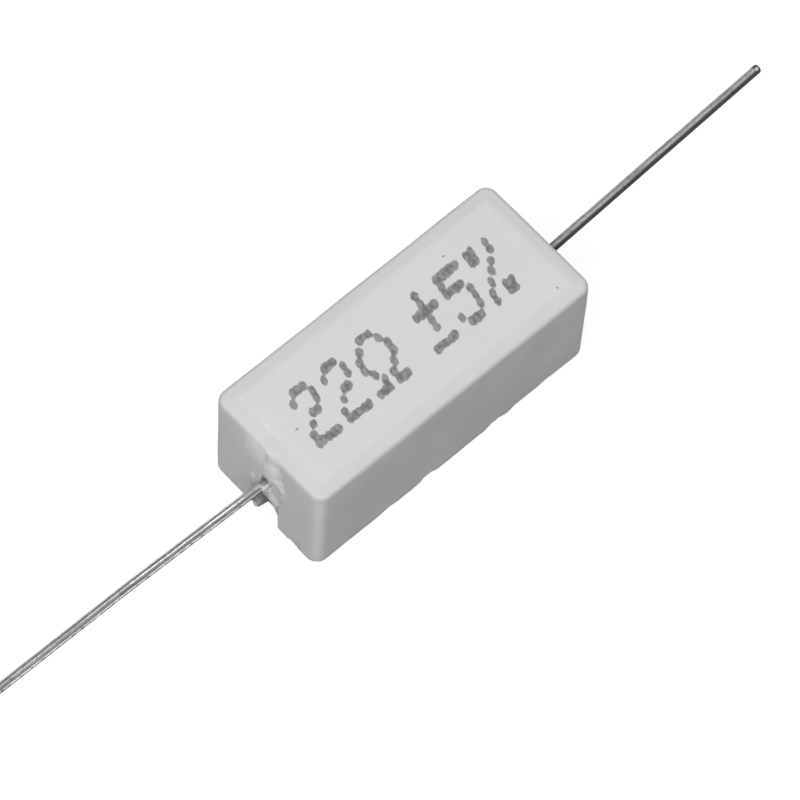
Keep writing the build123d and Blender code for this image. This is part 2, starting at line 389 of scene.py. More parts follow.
def tin_finish(colours, name, tip=None):
    """Tinned wire: drawn streaks along it, dull patches, dark flecks and a dark underside.

    The piece's UV map is (turn, length in centimetres). The turn's sine is how far a place faces
    up, and its cosine how far it faces the wire's first side. The dark underside is painted shade.
    Near the case the wire is duller, with a painted dark reflection line. The wire that is given the
    place of its tip is a shaded copy: it is rougher, has painted shade all round, most on its first
    side, is dark on its cut tip, and has a painted highlight on the tip.
    """
    s = Shader(name)
    dark = colours.tin_dark
    turn, along, _ = s.axes(s.node("TexCoord", output="UV"))
    angle = turn * (2 * math.pi)

    def pattern(round_it, along_it, level):
        """Noise stretched along the wire: its features to a turn and to a centimetre."""
        vector = s.node("CombineXYZ", None, {0: turn * round_it, 1: along * along_it, 2: level})
        return s.noise(vector, 1.0, 2, 0.6)

    streak, patch, fleck = pattern(14, 4, 0.0), pattern(3, 4, 3.0), pattern(9, 26, 6.0)
    dull = s.ramp(streak, 0.52, 0.66) * 0.5 + s.ramp(patch, 0.55, 0.75) * 0.3
    base = s.blend(dull, colours.tin, dark)
    base = s.blend(s.ramp(fleck, 0.54, 0.66) * 0.35, base, shade(dark, 0.7))
    # Painted shade on the underside
    under = s.fall(s.math("SINE", angle) + (fleck - 0.5) * 1.2, 0.15, 0.45)
    base = s.blend(under, base, shade(dark, 0.6))
    rough = s.ramp(patch, 0.35, 0.7) * 0.08 + (0.62 if tip else 0.24)
    rough = rough + s.fall(along, 0.40, 0.52) * 0.25
    # A painted dark reflection line near the case
    line = s.fall(abs(turn - 0.345), 0.02, 0.06) * s.fall(along, 0.45, 0.6) * s.ramp(along, 0.34, 0.37)
    base = s.blend(line * 0.7, base, dark)
    base = s.blend(s.fall(along, 0.32, 0.36) * 0.45, base, dark)
    if tip:
        # Painted shade: the shaded copy is darkened all round, most on its first side
        facing = s.math("COSINE", angle)
        base = s.blend(s.ramp(facing, -0.9, -0.3) * 0.45, base, dark)
        base = s.blend(s.ramp(facing, 0.1, 0.75) * 0.9, base, shade(dark, 0.3))
        place = s.place()
        x, _, _ = s.axes(place)
        base = s.blend(s.ramp(x, tip[0] - 0.00048, tip[0] - 0.00036) * 0.75, base, shade(dark, 0.45))
        # A painted highlight on the tip
        painted_highlight = (tip[0] - 0.00026, tip[1] - 0.0001, tip[2] + 0.00027)
        base = s.blend(s.spot(place, painted_highlight, grey(0.00017)), base, grey(0.85))
    ridge = s.bump(streak, 0.3, 0.00003)
    sockets = {"Base Color": base, "Metallic": 1.0, "Roughness": rough, "Normal": ridge}
    return s.surface({**sockets, "Specular Tint": (*grey(0.9 if tip else 0.4), 1)})


def ink_finish(colours):
    """Printed ink: matt grey in two tones, darker where drops overlap, faded to ceramic at the edges.

    The piece's attribute ink is the number of drops that lie on a place.
    """
    s = Shader("printed_ink")
    place = s.place()
    amount = s.node("Attribute", {"attribute_name": "ink"}, None, "Fac")
    mottle = s.noise(place, 4500, 4, 0.65)
    patch = s.noise(place, 3000, 2, 0.5)
    base = s.blend(s.ramp(patch, 0.48, 0.62) * 0.6, colours.ink, shade(colours.ink, 1.35))
    base = s.blend(s.ramp(amount + (mottle - 0.5) * 0.9, 0.15, 0.85), colours.ceramic, base)
    thick = amount + (mottle - 0.5) * 3.0 - (patch - 0.5) * 3.0
    base = s.blend(s.ramp(thick, 0.9, 1.9), base, colours.ink_dark)
    sockets = {"Base Color": base, "Roughness": 0.6, "Normal": s.bump(mottle, 0.2, 0.00003)}
    return s.surface({**sockets, "Specular IOR Level": 0.3})


def rod_finish(colours):
    """The unglazed rod of the winding."""
    s = Shader("rod_ceramic")
    place = s.place()
    base = s.blend(s.noise(place, 700, 3, 0.5), colours.ceramic, shade(colours.ceramic, 0.85))
    grain = s.bump(s.noise(place, 4000, 2), 0.3, 0.00003)
    return s.surface({"Base Color": base, "Roughness": 0.7, "Normal": grain})


def metal_finish(name, colour, roughness):
    """Plain drawn or pressed metal, faintly mottled."""
    s = Shader(name)
    cloud = s.noise(s.place(), 1200, 3, 0.6)
    base = s.blend(s.ramp(cloud, 0.3, 0.7), colour, shade(colour, 0.8))
    sockets = {"Base Color": base, "Metallic": 1.0, "Roughness": cloud * 0.15 + roughness}
    return s.surface({**sockets, "Normal": s.bump(cloud, 0.1, 0.00002)})


def ripple(place, length, seed, spread=0.0, waves=14):
    """Smooth unevenness of about -1 to 1 at points (..., n).

    The sum of plane waves over the root of their number. Directions and phases are drawn from the
    seed, and wavelengths from length / (1 + spread) to length / (1 - spread).
    """
    chance = np.random.default_rng(seed)
    heading = chance.normal(size=(place.shape[-1], waves))
    heading *= 2 * np.pi / length / np.linalg.norm(heading, axis=0)
    phase = chance.uniform(0, 2 * np.pi, waves)
    if spread:
        heading *= chance.uniform(1 - spread, 1 + spread, waves)
        phase = chance.uniform(0, 2 * np.pi, waves)
    return np.sin(place @ heading + phase).sum(-1) / math.sqrt(waves) / 1.4


def step(value, low, high):
    """0 at low and less, 1 at high and more, and 3q^2 - 2q^3 between."""
    q = np.clip((value - low) / (high - low), 0, 1)
    return q * q * (3 - 2 * q)


def fall(value, low, high):
    """1 at low and less, 0 at high and more: 1 less the step."""
    return 1 - step(value, low, high)


def follow(table, value):
    """The second number of a table's pairs at a value of the first, on straight runs between them."""
    return np.interp(value, *np.array(table).T)


def stacked(*parts):
    return np.stack(np.broadcast_arrays(*parts), -1)


def grid_faces(rows, columns, closed):
    """Quads of a grid of points in row order, its columns joined up in a ring if closed."""
    here = np.arange(columns if closed else columns - 1)
    beside = (here + 1) % columns
    low = np.arange(rows - 1)[:, None] * columns
    high = low + columns
    return stacked(low + here, low + beside, high + beside, high + here).reshape(-1, 4)


def put(name, points, faces, material, slot, uv=None, ink=None):
    """A smooth mesh object at the origin, on the one body, from points in millimetres and quads."""
    points = np.asarray(points, float).reshape(-1, 3)
    used, faces = np.unique(faces, return_inverse=True)
    faces = faces.reshape(-1, 4)
    mesh = bpy.data.meshes.new(name)
    mesh.from_pydata((points[used] * MM).tolist(), [], faces.tolist())
    if uv is not None:
        uv = np.asarray(uv, np.float32).reshape(-1, 2)[used]
        mesh.uv_layers.new(name="UVMap").data.foreach_set("uv", uv[faces.ravel()].ravel())
    if ink is not None:
        layer = mesh.attributes.new("ink", "FLOAT", "POINT")
        layer.data.foreach_set("value", np.asarray(ink, np.float32).ravel()[used])
    close_seams(mesh, 1e-4 * MM)
    mesh.validate()
    mesh.polygons.foreach_set("use_smooth", [True] * len(mesh.polygons))
    mesh.materials.append(material)
    mesh.update()
    thing = bpy.data.objects.new(name, mesh)
    bpy.context.scene.collection.objects.link(thing)
    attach(thing, "root")
    return thing


def close_seams(mesh, distance):
    """Joins the points that meet at poles and seams, and drops the faces that vanish there."""
    work = bmesh.new()
    work.from_mesh(mesh)
    bmesh.ops.remove_doubles(work, verts=work.verts, dist=distance)
    bmesh.ops.dissolve_degenerate(work, edges=work.edges, dist=distance)
    work.to_mesh(mesh)
    work.free()


def slab(front, back, keep=None):
    """Points and quads of a closed slab between two grids of the same shape.

    The front grid's quads keep their order and the back's are turned round. keep says which cells
    of the grid are there, and walls close the slab along each edge that only one kept cell has.
    """
    rows, columns = front.shape[:2]
    count = rows * columns
    face = grid_faces(rows, columns, False)
    if keep is not None:
        face = face[keep.ravel()]
    start, end = face.ravel(), np.roll(face, -1, axis=1).ravel()
    outer = ~np.isin(start * count + end, end * count + start)
    start, end = start[outer], end[outer]
    sides = stacked(end, start, start + count, end + count)
    faces = np.concatenate([face, face[:, ::-1] + count, sides])
    return np.concatenate([front.reshape(-1, 3), back.reshape(-1, 3)]), faces


class CasePath:
    """Stations round the case, from the middle of the far end's slot, seen from above anticlockwise.

    A station has an anchor on the inner rectangle (the corners' centres), the outward normal
    there, and its place on the lower boundary: the rim, or the outline of an end slot, given by
    the distance t along the wall, the height z, and the direction w from the boundary into the
    wall. The upper end of the station's line is at top_t along the wall.
    """

    def __init__(self, sizes):
        self.sizes = sizes
        self.half = np.array([sizes.length / 2, sizes.base_width / 2])
        self.inner = self.half - sizes.corner_radius
        side_run, end_run = self.inner
        side_stations, corner_stations = 118, 13
        rows = []
        for side in range(4):
            if side % 2 == 0:
                wall = self.end_wall(end_run)
            else:
                along = np.linspace(-side_run, side_run, side_stations)
                wall = stacked(along, 0.0, 0.0, 1.0, along)
            rows.append(stacked(side, *wall.T, 0.0))
            turn = np.linspace(side * np.pi / 2, (side + 1) * np.pi / 2, corner_stations)[1:-1]
            rows.append(stacked(4 + side, 0.0, 0.0, 0.0, 1.0, 0.0, turn))
        side, self.t, self.z, self.wt, self.wz, self.top_t, angle = np.concatenate(rows).T
        is_corner = side >= 4
        self.at_end = ~is_corner & (side % 2 == 0)
        angle = np.where(is_corner, angle, side * np.pi / 2)
        self.normal = stacked(np.cos(angle), np.sin(angle))
        self.normal[np.abs(self.normal) < 1e-12] = 0
        self.along = stacked(-self.normal[:, 1], self.normal[:, 0]) * ~is_corner[:, None]
        middle = self.normal * np.where(side % 2 == 0, *self.inner)[:, None]
        self.anchor = np.where(is_corner[:, None], np.sign(self.normal) * self.inner, middle)

    def end_wall(self, end_run):
        """Rows (t, z, wt, wz, top_t) along an end wall.

        They follow the rim, a rounded foot and the slot's leg up, its arch, and the same down.
        """
        foot = 0.3
        slot_half = self.sizes.slot_width / 2
        arch_z = self.sizes.slot_height - slot_half
        # How far from the middle the lines of the foot, the leg and the arch end at the top
        foot_top, foot_top_end, leg_top, arch_top = 3.1, 2.9, 2.87, 1.5
        rim_end = -slot_half - foot
        t = np.linspace(-end_run, rim_end, 15)[:-1]
        rim = stacked(t, 0.0, 0.0, 1.0, np.interp(t, [-end_run, rim_end], [-end_run, -foot_top]))
        q = np.linspace(0, np.pi / 2, 7)[:-1]
        c, s = np.cos(q), np.sin(q)
        top_t = -foot_top + (foot_top - foot_top_end) * q / q[-1]
        bend = stacked(rim_end + foot * s, foot - foot * c, -s, c, top_t)
        z = np.linspace(foot, arch_z, 22)[:-1]
        leg = stacked(-slot_half, z, -1.0, 0.0, np.interp(z, [foot, arch_z], [-leg_top, -arch_top]))
        q = np.linspace(np.pi, 0, 31)
        c, s = np.cos(q), np.sin(q)
        top_t = np.linspace(-arch_top, arch_top, len(q))
        arch = stacked(slot_half * c, arch_z + slot_half * s, c, s, top_t)
        up = np.concatenate([rim, bend, leg])
        return np.concatenate([up, arch, up[::-1] * (-1, 1, -1, 1, -1)])

    def plan(self, t, inset, z):
        """Plan points at distances t along the walls, inset from their outside. Higher up, it is wider.

        Within the corner radius the outline is a parallel curve of the case's. Further in, the
        inner rectangle shrinks and a small corner radius stays.
        """
        s = self.sizes
        least_radius = 0.06
        widen = (s.width - s.base_width) / 2 * np.clip(z / s.height, 0, 1)
        inset = inset[:, None]
        radius = np.maximum(s.corner_radius - inset, least_radius)
        shrink = (self.half - inset - radius) / self.inner
        point = (self.anchor + self.along * t[:, None]) * shrink + self.normal * radius
        outward = np.sign(self.anchor[:, 1] + 1e-9 * self.normal[:, 1])
        point[:, 1] += widen * outward * np.abs(point[:, 1]) / self.half[1]
        return point


def draw_in(sizes, z):
    """How far a wall stands in from its plane: 0 low down, then a parabola up to the top edge."""
    below_top, run = 1.4, 0.95
    return sizes.draw * np.clip((z - sizes.height + below_top) / run, 0, 1) ** 2


def case_surface(sizes):
    """The case as one closed grid of lines, from the middle of the roof inside to the panel's spine.

    Each line comes down the inner wall, rounds the rim or the slot's edge, runs straight up the
    outside to its upper end, round a quarter circle, up the border's slope and in over the panel.
    Gives the points, the surface's rough normals there, and which rows are outside.
    """
    path = CasePath(sizes)
    s = sizes
    rows = []

    def row(t, inset, z, out, up):
        inset, z = (np.broadcast_to(v, t.shape) for v in (inset, z))
        flat = path.plan(t, inset, z)
        rows.append((stacked(*flat.T, z), stacked(*(path.normal * out).T, up)))

    quarter = np.pi / 2
    wall = np.where(path.at_end, s.end_wall, s.side_wall)
    roof_z = s.height - s.roof
    # Inside: a flat roof, then down the inner wall
    for inset in np.linspace(path.half[1], 1.3, 7):
        row(path.top_t, inset, roof_z, 0.0, -1.0)
    inner_round = 0.1
    start_t = path.t + path.wt * inner_round
    start_z = path.z + path.wz * inner_round
    for q in np.linspace(1, 0, 9):
        row(start_t + (path.top_t - start_t) * q, wall, start_z + (roof_z - start_z) * q, -1.0, 0.0)
    for q in np.linspace(0, quarter, 4)[1:]:
        turn = inner_round * (1 - np.sin(q))
        inset = wall - inner_round * (1 - np.cos(q))
        row(path.t + path.wt * turn, inset, path.z + path.wz * turn, 0.0, -1.0)
    inside = len(rows)
    # Across the rim's face, round its outer edge and up the outside
    for q in np.linspace(0, 1, 6)[1:-1]:
        row(path.t, (wall - inner_round) * (1 - q) + s.rim_radius * q, path.z, 0.0, -1.0)
    for q in np.linspace(0, quarter, 7):
        turn = s.rim_radius * (1 - np.cos(q))
        inset = s.rim_radius * (1 - np.sin(q))
        row(path.t + path.wt * turn, inset, path.z + path.wz * turn, np.sin(q), -np.cos(q))
    start_t = path.t + path.wt * s.rim_radius
    start_z = path.z + path.wz * s.rim_radius
    shoulder = s.height - s.drop - s.edge_radius
    for q in np.linspace(0, 1, 40)[1:-1] ** 1.15:
        z = start_z + (shoulder - start_z) * q
        row(start_t + (path.top_t - start_t) * q, draw_in(s, z), z, 1.0, 0.0)
    # Round the top edge, up the border, which runs out into the panel over a short round, and in
    for q in np.linspace(0, quarter, 10):
        inset = s.draw + s.edge_radius * (1 - np.cos(q))
        row(path.top_t, inset, shoulder + s.edge_radius * np.sin(q), np.cos(q), np.sin(q))
    slope_start = s.draw + s.edge_radius
    slope_end = s.border + 0.35
    for inset in np.linspace(slope_start, slope_end, 9)[1:]:
        rise = (inset - slope_start) / (s.border - slope_start)
        height = rise if rise < 0.8 else 0.8 + 0.2 * (1 - np.exp(-(rise - 0.8) / 0.2))
        row(path.top_t, inset, s.height - s.drop * (1 - height), 0.0, 1.0)
    for inset in np.linspace(slope_end, path.half[1] - 0.01, 12)[1:]:
        row(path.top_t, inset, s.height, 0.0, 1.0)
    points, normals = (np.stack(each) for each in zip(*rows))
    # The first and last lines close on the spine
    points[[0, -1], :, 1] = 0
    return points, normals, np.arange(len(rows)) >= inside


def chip(points, middle, reach, depth, seed):
    """The depth of a scoop at points: deepest in the middle of an ellipsoid, 0 past its ragged edge."""
    off = (points - middle) / reach
    ragged = 0.25 * ripple(points, 0.5, seed)
    return depth * step(1 - (off**2).sum(-1) + ragged, 0, 0.8)


def wear(sizes, y, z):
    """How deep the near end's top edge is worn left of the cement, which ends at an ellipse."""
    most, middle, wide, high = 0.09, 0.85, 1.2, 1.3
    return most * fall(np.hypot((y - middle) / wide, (z - sizes.height) / high), 0.0, 1.0)


def build_case(sizes, colours):
    """The case's surface, moved along its normals by a swell, chips and wear, with an uneven rim."""
    points, normals, outside = case_surface(sizes)
    swell = ripple(points, 6.5, 3) + 0.5 * ripple(points, 2.6, 4)
    lift = sizes.unevenness * swell - sizes.unevenness
    lift = np.where(np.abs(normals[..., 2]) > 0.5, lift * 0.35, lift)
    right, near = -sizes.base_width / 2, -sizes.length / 2
    chips = (
        ((-2.0, right, 0.0), (0.75, 0.5, 0.42), 0.12, 5),
        ((3.5, right, 0.0), (0.8, 0.5, 0.4), 0.14, 6),
        ((7.6, right, 0.0), (0.5, 0.4, 0.3), 0.03, 7),
        ((near, -2.6, 0.0), (0.5, 0.5, 0.36), 0.12, 8),
        ((-5.2, right, 0.0), (0.7, 0.4, 0.25), 0.06, 9),
        # A small lump beside the cement
        ((near, 1.65, 6.7), (0.5, 0.25, 0.5), -0.04, 10),
    )
    lost = sum(chip(points, *shape) for shape in chips)
    lost += wear(sizes, points[..., 1], points[..., 2]) * (points[..., 0] < near + sizes.border)
    points = points + normals * ((lift - lost) * outside[:, None])[..., None]
    # The rim wanders up from the plane it stands on, and is raised on the right near the far end
    x, y, z = np.moveaxis(points, -1, 0)
    flat = points[..., :2]
    wander = 0.018 * (1 + ripple(flat, 3.0, 11)) + 0.012 * (1 + ripple(flat, 0.7, 12))
    raised = 0.22 * step(x, 4.5, 5.3) * step(-y, 0.0, 4.4)
    points[..., 2] += fall(z, 0, 1.2) * (wander + raised)
    faces = grid_faces(*points.shape[:2], True)
    return put("case_shell", points, faces, ceramic_finish(colours, sizes), "case_ceramic")


def end_profile(case, low):
    """Up an end face from the height low and round its top edge.

    For each row, in millimetres and radians: the run h up the profile, the distance in from the
    end face, the height, and how far the outward normal leans up.
    """
    shoulder = case.height - case.drop - case.edge_radius
    up = np.linspace(low, shoulder, 200)
    q = np.linspace(0, np.pi / 2, 16)[1:]
    run = np.concatenate([up, shoulder + case.edge_radius * q])
    inward = np.concatenate([draw_in(case, up), case.draw + case.edge_radius * (1 - np.cos(q))])
    height = np.concatenate([up, shoulder + case.edge_radius * np.sin(q)])
    return run, inward, height, np.concatenate([0 * up, q])


def rough_skin(flat, seed):
    """Grains of mixed sizes, about -1 to 1: the sum of three ripples, the finer the weaker."""
    kinds = enumerate(((0.9, 1.0), (0.4, 0.7), (0.19, 0.4)))
    return sum(share * ripple(flat, size, seed + i, 0.4, 30) for i, (size, share) in kinds) / 1.5


def bead(y, h, middle, reach):
    """A round swelling over (y, h): 1 in the middle, 0 beyond the ellipse of the given reach."""
    return fall(np.hypot((y - middle[0]) / reach[0], (h - middle[1]) / reach[1]), 0.1, 1.0)


def beads(y, h, table):
    """The sum of several swellings, each a middle, a reach and a height."""
    return sum(height * bead(y, h, middle, reach) for middle, reach, height in table)


def corner_share(y, h, corners, edge):
    """1 inside the convex outline through corners, clockwise in (y, h), and 0 outside.

    The step from 0 to 1 is edge wide and is taken of the least distance inside a side.
    """
    corners = np.array(corners)
    inside = np.inf
    for a, b in zip(corners, np.roll(corners, -1, axis=0)):
        u = (b - a) / np.linalg.norm(b - a)
        inside = np.minimum(inside, (h - a[1]) * u[0] - (y - a[0]) * u[1])
    return step(inside, -edge / 2, edge / 2)


def pocket_share(case, sizes, y, h, rough):
    """1 inside the open arch under a lead, whose upper corners are quarter ellipses, and 0 outside."""
    # The corners' width and height, and the half width, which is a little past the slot's
    wide, high = 1.0, 2.2
    half = case.slot_width / 2 + 0.12
    across = np.maximum(np.abs(y) - half + wide, 0) / wide
    up = np.maximum(h - sizes.pocket_height + high, 0) / high
    return fall((np.hypot(across, up) - 1) * wide - 0.02 * rough, -0.1, 0.02)


# The near end's forms in millimetres: y is across and h is the run up the end's profile.
# The smear's edges, as (h, y)
# fmt: off
SMEAR_RIGHT = (
    (0, -1.16), (2.6, -1.18), (3.0, -1.28), (3.5, -1.46), (4.0, -1.64), (4.7, -1.84), (5.5, -1.91),
    (6.1, -1.95), (6.5, -1.86), (6.8, -1.74), (7.3, -1.64), (8.0, -1.52), (8.5, -1.42), (9.0, -1.35),
)
SMEAR_LEFT = (
    (0, 1.16), (2.4, 1.17), (2.9, 1.34), (4.0, 1.4), (4.5, 1.28), (4.9, 1.0), (5.2, 0.7),
    (5.5, 0.35), (5.8, 0.17), (7.3, 0.26), (7.8, 0.45), (8.3, 0.7), (9.0, 0.9),
)
# Its share of the greatest thickness, as (h, share): a thick lip over the slot, thin past the top edge
SMEAR_LIP = (
    (0, 0.03), (5.5, 0.05), (5.68, 0.13), (6.02, 0.8), (6.3, 0.95),
    (7.2, 0.94), (7.7, 0.8), (8.2, 0.42), (8.5, 0.12), (8.66, 0.0),
)
# fmt: on
# Small lumps, each a middle (y, h), a reach and a height
LUMPS = (
    ((-1.5, 6.3), (0.2, 0.3), 0.02),
    ((-1.16, 3.35), (0.2, 0.34), 0.05),
    ((-0.5, 3.15), (0.2, 0.18), 0.05),
    ((-0.8, 3.45), (0.22, 0.18), 0.05),
    ((1.0, 4.0), (0.17, 0.42), 0.07),
)
# Corners of the pit over the lead and of the crack on its right, as (y, h)
PIT = ((0.06, 5.45), (-0.26, 5.0), (-0.1, 4.5), (0.42, 4.1), (0.22, 4.9))
CRACK = ((-0.55, 5.2), (-0.7, 5.0), (-0.46, 4.05), (-0.37, 4.2))
# The nub's right edge, as (h, y), and the swellings of its front
NUB_EDGE = ((0.06, 0.68), (0.18, 0.5), (0.35, 0.4), (0.58, 0.31), (0.98, 0.22), (1.6, 0.2), (3.0, 0.2))
NUB_FRONT = (((0.6, 0.8), (0.5, 0.9), 0.12), ((0.85, 0.2), (0.4, 0.5), 0.16))


def smear_depth(sizes, y, h, low_y, high_y, rough):
    """How far the smear stands off the end: a lip, beads and a ridge, thinning to its edges."""
    smear = follow(SMEAR_LIP, h + 0.1 * ripple(y[..., None], 0.9, 33)) * sizes.smear
    smear = smear * (1 - step(y, -0.5, 0.25) * step(h, 7.0, 8.0))
    left_low = step(y, -0.2, 0.2) * fall(h, 5.2, 5.7)
    right_low = step(-y, 0.2, 0.7) * fall(h, 5.4, 6.0) * step(h, 2.9, 3.3)
    ridge = fall(np.abs(y - low_y - 0.24), 0.0, 0.2) * step(h, 4.1, 4.6) * fall(h, 5.5, 6.0)
    body = smear * (1 - left_low) + 0.05 * right_low + 0.08 * ridge + beads(y, h, LUMPS)
    # It thins out slowly up on the left, where it is only a film
    left_width = 0.24 + 0.12 * left_low + 0.2 * step(h, 5.6, 6.0) + 0.4 * step(h, 7.0, 8.0)
    right_width = 0.26 + 0.74 * step(h, 5.7, 6.3)
    feather = step((y - low_y) / right_width, 0.0, 1.0) * step((high_y - y) / left_width, 0.0, 1.0)
    sunk = 0.05 - 0.03 * left_low
    return (body + sunk) * feather - sunk + sizes.grain * rough * (0.2 + 0.6 * feather)


def round_lead(sizes, leads, y, h, rough):
    """What the collar adds round the near lead, less the pit over it, the crack and the groove below."""
    from_axis = np.hypot(y, h - leads.height - 0.15)
    pit = corner_share(y, h - 0.03 * rough, PIT, 0.12)
    crack = corner_share(y, h, CRACK, 0.13)
    flare = 0.36 - 0.16 * step(y, 0.0, 0.3)
    off_lead = (from_axis + 0.05 * rough - leads.diameter / 2 + 0.02) / flare
    cone = sizes.collar * fall(off_lead, 0.0, 1.0) * (1 - 0.6 * pit)
    off_groove = np.abs(y + 0.4 * (h - 4.9) + 0.03)
    groove = fall(off_groove, 0.02, 0.12) * step(h, 2.2, 2.7) * fall(h, 4.8, 5.0)
    return cone * (1 - 0.7 * groove) - 0.9 * pit - (0.35 + 0.8 * cone) * crack - 0.1 * groove


def near_cement(sizes, case, leads):
    """The near end: a smear up the face and over its top edge, with the open pocket and its nub.

    Rows follow the end's profile between the smear's two edges. The front stands off the profile
    along its normal by the smear's depth and what is round the lead, less the worn top edge. In
    the pocket's share it is the nub's front, or as deep as the pocket.
    """
    run, inward, height, lean = (column[:, None] for column in end_profile(case, 0.06))
    wobble = 0.03 * ripple(run, 1.1, 31) + 0.012 * ripple(run, 0.45, 32)
    low_y = follow(SMEAR_RIGHT, run) + wobble[:, None] * step(run, 2.4, 3.0)
    high_y = follow(SMEAR_LEFT, run) - wobble[:, None] * step(run, 4.0, 4.6)
    y = low_y + (high_y - low_y) * np.linspace(0, 1, 130)
    h = np.broadcast_to(run, y.shape)
    rough = rough_skin(stacked(y, h), 20)
    depth = smear_depth(sizes, y, h, low_y, high_y, rough) + round_lead(sizes, leads, y, h, rough)
    depth = depth - wear(case, y, height) - 0.1 * step(h, 8.5, 8.9)
    pocket = pocket_share(case, sizes, y, h, rough)
    nub = step(y - follow(NUB_EDGE, h) + 0.03 * rough, -0.08, 0.1)
    nub_front = beads(y, h, NUB_FRONT) - 0.17 + 0.03 * rough
    depth = depth * (1 - pocket) + pocket * (nub_front * nub - sizes.pocket_depth * (1 - nub))
    # The back lies in the ceramic, and behind the end wall where the slot is
    slot_half = case.slot_width / 2
    arch_z = case.slot_height - slot_half
    off_slot = np.where(h > arch_z, np.hypot(y, h - arch_z), np.abs(y)) - slot_half
    behind = np.where(off_slot < 0.02, case.end_wall + 0.05, 0.07) * (lean == 0)
    thick = 0.12 * (lean > 0)
    front = stacked(inward - depth * np.cos(lean), y, height + depth * np.sin(lean))
    back = stacked(inward + behind + thick * np.cos(lean), y, height - thick * np.sin(lean))
    shift = np.array([-case.length / 2, 0, 0])
    return (front + shift)[::-1], (back + shift)[::-1]


def far_cement(sizes, case, leads):
    """The far end: cement a little back from the face, with a collar, two lumps and the open pocket.

    Rows run across the slot's outline, which is wider than the slot by an overlap.
    """
    overlap = 0.03
    slot_half = case.slot_width / 2 + overlap
    arch_z = case.slot_height - slot_half + overlap
    heights = np.linspace(0.28, arch_z + slot_half - 0.002, 110)
    half = np.sqrt(np.maximum(slot_half**2 - np.maximum(heights - arch_z, 0) ** 2, 1e-6))
    y = half[:, None] * np.linspace(-1, 1, 80)
    h = np.broadcast_to(heights[:, None], y.shape)
    rough = rough_skin(stacked(y, h), 25)
    off_lead = np.hypot(y - 0.2, h - leads.height - 0.25) + 0.05 * rough - leads.diameter / 2
    cone = sizes.collar * fall(off_lead, -0.02, 0.36)
    lumps = beads(y, h, (((-0.6, 3.5), (0.4, 0.5), 0.06), ((0.7, 3.1), (0.3, 0.4), 0.05)))
    depth = cone + lumps + sizes.grain * rough - 0.06
    pocket = pocket_share(case, sizes, y, h, rough)
    depth = depth * (1 - pocket) - pocket * sizes.pocket_depth
    end = case.length / 2
    return stacked(end + depth, y, h), stacked(end - case.end_wall - 0.05, y, h)


def under_cement(sizes, case):
    """The cement seen from below: a shallow parabolic trough, with grains and small craters."""
    half_x = case.length / 2 - case.end_wall + 0.02
    half_y = case.base_width / 2 - case.side_wall + 0.03
    x, y = np.meshgrid(np.linspace(-half_x, half_x, 200), np.linspace(-half_y, half_y, 74))
    flat = stacked(x, y)
    rough = ripple(flat, 2.4, 41) + 0.8 * ripple(flat, 0.9, 42) + 0.6 * ripple(flat, 0.4, 43)
    z = sizes.recess + sizes.meniscus * (1 - (y / half_y) ** 2) + sizes.grain * rough
    chance = np.random.default_rng(44)
    for place in chance.uniform([-half_x + 0.8, -half_y + 0.5], [half_x - 0.8, half_y - 0.5], (16, 2)):
        wide = chance.uniform(0.1, 0.28)
        z = z + 0.7 * wide * fall(np.hypot(x - place[0], y - place[1]), wide * 0.3, wide)
    front = stacked(x, y, z)
    back = stacked(x, y, case.height - case.roof)
    return front[::-1], back[::-1]


def build_cement(sizes, case, leads, colours):
    under = cement_finish(colours, "sealing_cement", False)
    ends = cement_finish(colours, "sealing_cement_ends", True)
    pieces = {
        "cement_under": (under_cement(sizes, case), under),
        "cement_near_end": (near_cement(sizes, case, leads), ends),
        "cement_far_end": (far_cement(sizes, case, leads), ends),
    }
    return [put(name, *slab(*grids), material, "cement") for name, (grids, material) in pieces.items()]


def route(points, radius):
    """A wire's line through straight runs with its bends rounded, and how far along it each point is.

    Each bend is a cubic Bezier curve whose ends lie on the two runs, as far from the corner as
    an arc of that radius would start, and whose handles reach a share of the way to the corner.
    """
    spacing, handle, least_reach = 0.15, 0.55, 0.05
    points = np.asarray(points, float)
    line = [points[:1]]
    for before, at, after in zip(points[:-2], points[1:-1], points[2:]):
        u, v = at - before, after - at
        u, v = u / np.linalg.norm(u), v / np.linalg.norm(v)
        reach = max(radius * math.tan(math.acos(min(1.0, float(u @ v))) / 2), least_reach)
        a, d = at - u * reach, at + v * reach
        b, c = a + u * reach * handle, d - v * reach * handle
        q = np.linspace(0, 1, 9)[:, None]
        line.append((1 - q) ** 3 * a + 3 * q * (1 - q) ** 2 * b + 3 * q * q * (1 - q) * c + q**3 * d)
    line.append(points[-1:])
    line = np.concatenate(line)
    far = np.concatenate([[0], np.cumsum(np.linalg.norm(np.diff(line, axis=0), axis=1))])
    even = np.linspace(0, far[-1], round(far[-1] / spacing) + 1)
    return stacked(*[np.interp(even, far, line[:, k]) for k in range(3)]), even


